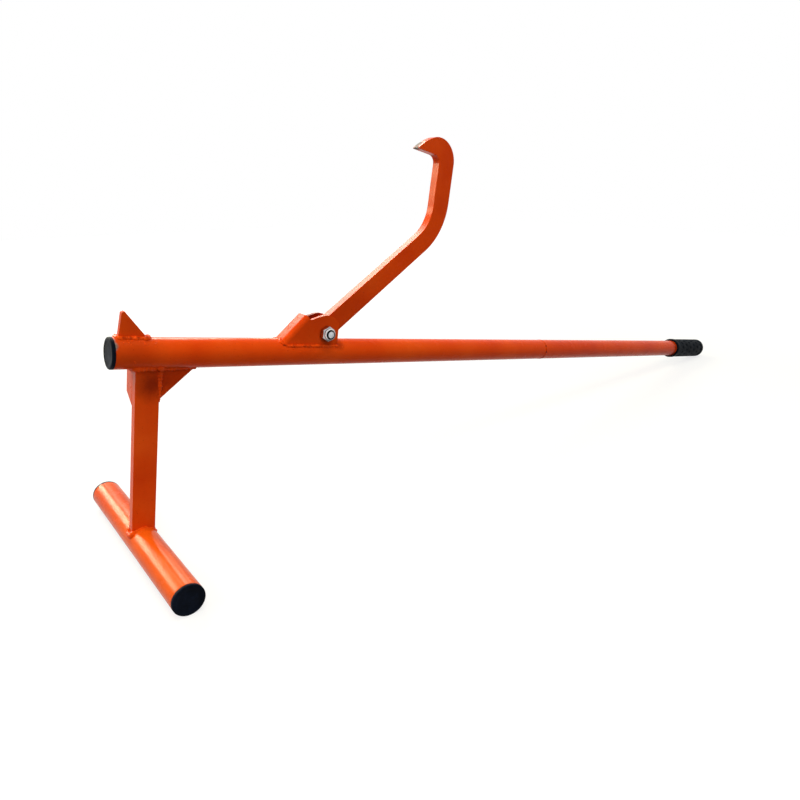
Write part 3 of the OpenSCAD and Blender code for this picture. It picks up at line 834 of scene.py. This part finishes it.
post = {"left": 21.0, "right": 45.0, "half": 5.0}
postWeld = {"radius": 3.3, "seed": 5, "pitch": 4.2, "depth": 0.35, "wander": 2.2, "sunk": 0.4, "front": -4.5,
            "back": 15.0, "beside": 1.9, "beyond": (1.0, 1.2), "spots": (14, (16, 84), (-15.5, -13))}
postLine = [(post["right"] + postWeld["beyond"][1], y) for y in span(postWeld["back"], postWeld["front"], 10)]
postLine += [(x, -post["half"] - postWeld["beside"]) for x in span(post["right"], post["left"])]
postLine += [(post["left"] - postWeld["beyond"][0], y) for y in span(postWeld["front"], postWeld["back"], 10)]
postPath = [onTube(x, y, -1, postWeld["sunk"]) for x, y in postLine]
weldBead("postWeldBead", "post_top_weld", postWeld, postPath, False, spots=tubeSpots(postWeld, -1))

gusset = {"half": 3.0, "length": 36.0, "bottom": -51.0, "top": -17.0}
gussetWeld = {"radius": 2.6, "seed": 7, "pitch": 3.6, "depth": 0.35, "wander": 1.8, "sunk": 0.3,
              "besideLeg": (0.4, 0.6), "beside": 1.3, "start": 1.5, "beyond": 1.2, "tipSize": 0.7}
gussetTip = post["right"] + gusset["length"]
legX = post["right"] + gussetWeld["besideLeg"][0]
legY = -gusset["half"] - gussetWeld["besideLeg"][1]
gussetPath = [(legX, legY, z) for z in span(gusset["bottom"], gusset["top"], 16)]
gussetSize = [0.25 + 1.05 * (k / 16) ** 0.8 for k in range(17)]  # it swells up the leg, then thins out
for k, x in enumerate(span(post["right"] + gussetWeld["start"], gussetTip)):
    gussetPath.append(onTube(x, -gusset["half"] - gussetWeld["beside"], -1, gussetWeld["sunk"]))
    gussetSize.append(1.0 - 0.35 * k / 12)
mirrored = [(x, -y, z) for x, y, z in reversed(gussetPath)]
gussetPath += [onTube(gussetTip + gussetWeld["beyond"], 0, -1, gussetWeld["sunk"])] + mirrored
gussetSize += [gussetWeld["tipSize"]] + gussetSize[::-1]
weldBead("gussetWeldBead", "gusset_weld", gussetWeld, gussetPath, False, gussetSize)

footWeld = {"radius": 2.3, "seed": 9, "pitch": 3.4, "depth": 0.15, "wander": 1.2, "sunk": 0.3, "beside": 1.5,
            "beyond": (1.3, 1.3), "ends": 3}
footSide = post["half"] + footWeld["beside"]
footPath = []
for x, y in roundPlate(post["left"], post["right"], footSide, footWeld):
    rise = math.sqrt((foot["radius"] - footWeld["sunk"]) ** 2 - (x - foot["x"]) ** 2)
    footPath.append((x, y, foot["z"] + rise))
footSize = [1.7, 1.4, 0.9] + [0.7] * 12 + [0.9] * (len(footPath) - 18) + [1.0, 1.3, 1.5]
weldBead("footWeldBead", "foot_weld", footWeld, footPath, True, footSize)

bracket = {"base": 165.67, "lean": math.radians(46), "cheek": 12.0, "bend": 6.0, "front": 17.5, "back": 186}
bracketWeld = {"radius": 1.8, "seed": 11, "pitch": 3.4, "depth": 0.15, "wander": 1.8, "sunk": 0.3,
               "beside": 0.9, "wallSize": 1.2, "spots": (22, (176, 262), (-15.8, -13.6))}


def wallFoot(y, inset):  # where the slanted wall's outside meets the handle
    z = onTube(0, y, 1)[2]
    x = bracket["base"] + z / math.tan(bracket["lean"]) + inset / math.sin(bracket["lean"])
    return (x - bracketWeld["beside"], y, z - bracketWeld["sunk"])


bracketPath = []
for x in span(pivot["x"] + bracket["front"], bracket["back"], 24):
    bracketPath.append(onTube(x, -bracket["cheek"] - bracketWeld["beside"], 1, bracketWeld["sunk"]))
bracketSize = [1.0] * len(bracketPath)
for a in span(math.pi / 2, 0, 8):
    y = -(bracket["cheek"] - bracket["bend"]) - bracket["bend"] * math.sin(a)
    bracketPath.append(wallFoot(y, bracket["bend"] * (1 - math.cos(a))))
bracketPath += [wallFoot(y, 0) for y in span(-5, 0, 5)]
bracketSize += [bracketWeld["wallSize"]] * (len(bracketPath) - len(bracketSize))
bracketPath += [(x, -y, z) for x, y, z in reversed(bracketPath[:-1])]
bracketSize += bracketSize[-2::-1]
weldBead("bracketWeldBead", "bracket_weld", bracketWeld, bracketPath, False, bracketSize,
         tubeSpots(bracketWeld, 1))
print("welds made")

studio = {"floor": 9.0, "floorGlow": 0.775, "floorGrey": 0.25, "fadeStart": 0.7, "fadeStop": 2.2,
          "world": 0.26}


def whiteWhereSeen(tree, plain, white):  # the camera, glass and mirror images see white
    rays = addNode(tree, "ShaderNodeLightPath").outputs
    seen = calc(tree, "MAXIMUM", rays["Is Camera Ray"], rays["Is Transmission Ray"])
    seen = calc(tree, "MAXIMUM", seen, rays["Is Glossy Ray"])
    inputs = {0: seen, 1: plain.outputs[0], 2: white.outputs[0]}
    return addNode(tree, "ShaderNodeMixShader", inputs).outputs[0]


def studioFloor():
    bm = bmesh.new()
    bmesh.ops.create_grid(bm, x_segments=2, y_segments=2, size=studio["floor"] / 2)
    piece = addPiece("studioFloor", bm, 35)
    material = bpy.data.materials.new("floorWhite")
    tree = emptyTree(material)
    coords = addNode(tree, "ShaderNodeTexCoord").outputs["Object"]
    away = addNode(tree, "ShaderNodeVectorMath", {0: coords}, operation="LENGTH").outputs["Value"]
    strength = mapRange(tree, away, studio["fadeStart"], studio["fadeStop"], studio["floorGlow"], 1)
    lit = addNode(tree, "ShaderNodeBsdfDiffuse", {"Color": grey(studio["floorGrey"])})
    glow = addNode(tree, "ShaderNodeEmission", {"Color": grey(1), "Strength": strength})
    both = addNode(tree, "ShaderNodeAddShader", {0: lit.outputs[0], 1: glow.outputs[0]})
    addNode(tree, "ShaderNodeOutputMaterial", {0: whiteWhereSeen(tree, lit, both)})
    piece.data.materials.append(material)


def studioWorld():
    world = bpy.data.worlds.new("studioWorld")
    scene.world = world
    tree = emptyTree(world)
    dim = addNode(tree, "ShaderNodeBackground", {"Color": grey(1), "Strength": studio["world"]})
    white = addNode(tree, "ShaderNodeBackground", {"Color": grey(1), "Strength": 1})
    addNode(tree, "ShaderNodeOutputWorld", {0: whiteWhereSeen(tree, dim, white)})


def areaLight(name, place, aim, size, power, colour, mirrored=False):
    # a lamp either lights surfaces or is only mirrored in them
    lamp = bpy.data.lights.new(name, "AREA")
    lamp.shape = "RECTANGLE"
    lamp.size, lamp.size_y = size
    lamp.energy = power
    lamp.color = colour
    piece = bpy.data.objects.new(name, lamp)
    scene.collection.objects.link(piece)
    piece.location = place
    piece.rotation_euler = (Vector(aim) - Vector(place)).to_track_quat("-Z", "Y").to_euler()
    piece.visible_diffuse = not mirrored
    piece.visible_glossy = mirrored


studioFloor()
studioWorld()
warm = (1, 0.96, 0.72)
areaLight("keyLight", (-0.6, 2.2, 2.0), (-0.3, 0, 0.15), (1.8, 1.2), 56, warm)
areaLight("topLight", (-0.3, -0.5, 2.3), (-0.3, 0, 0.1), (1.6, 1.0), 23, warm)
areaLight("shineLow", (-1.7, 2.6, 1.3), (-0.4, 0, 0.1), (1.8, 0.75), 130, warm, True)
areaLight("shineHigh", (0.28, 2.6, 2.15), (-0.2, 0, 0.3), (1.95, 1.25), 128, (1, 0.98, 0.86), True)
areaLight("shineEdge", (1.35, 2.6, 1.1), (-0.4, 0, 0), (0.4, 0.5), 7, warm, True)
areaLight("leftLight", (-2.4, 0.4, 1.8), (-0.3, 0, 0.15), (1.2, 1.2), 24, (1, 1, 0.9))
areaLight("fillLight", (-0.9, -1.8, 2.0), (-0.1, 0, 0.1), (1.4, 1.2), 16.5, (1, 0.9, 0.8))
scene.view_settings.view_transform = "Standard"
print("studio made")
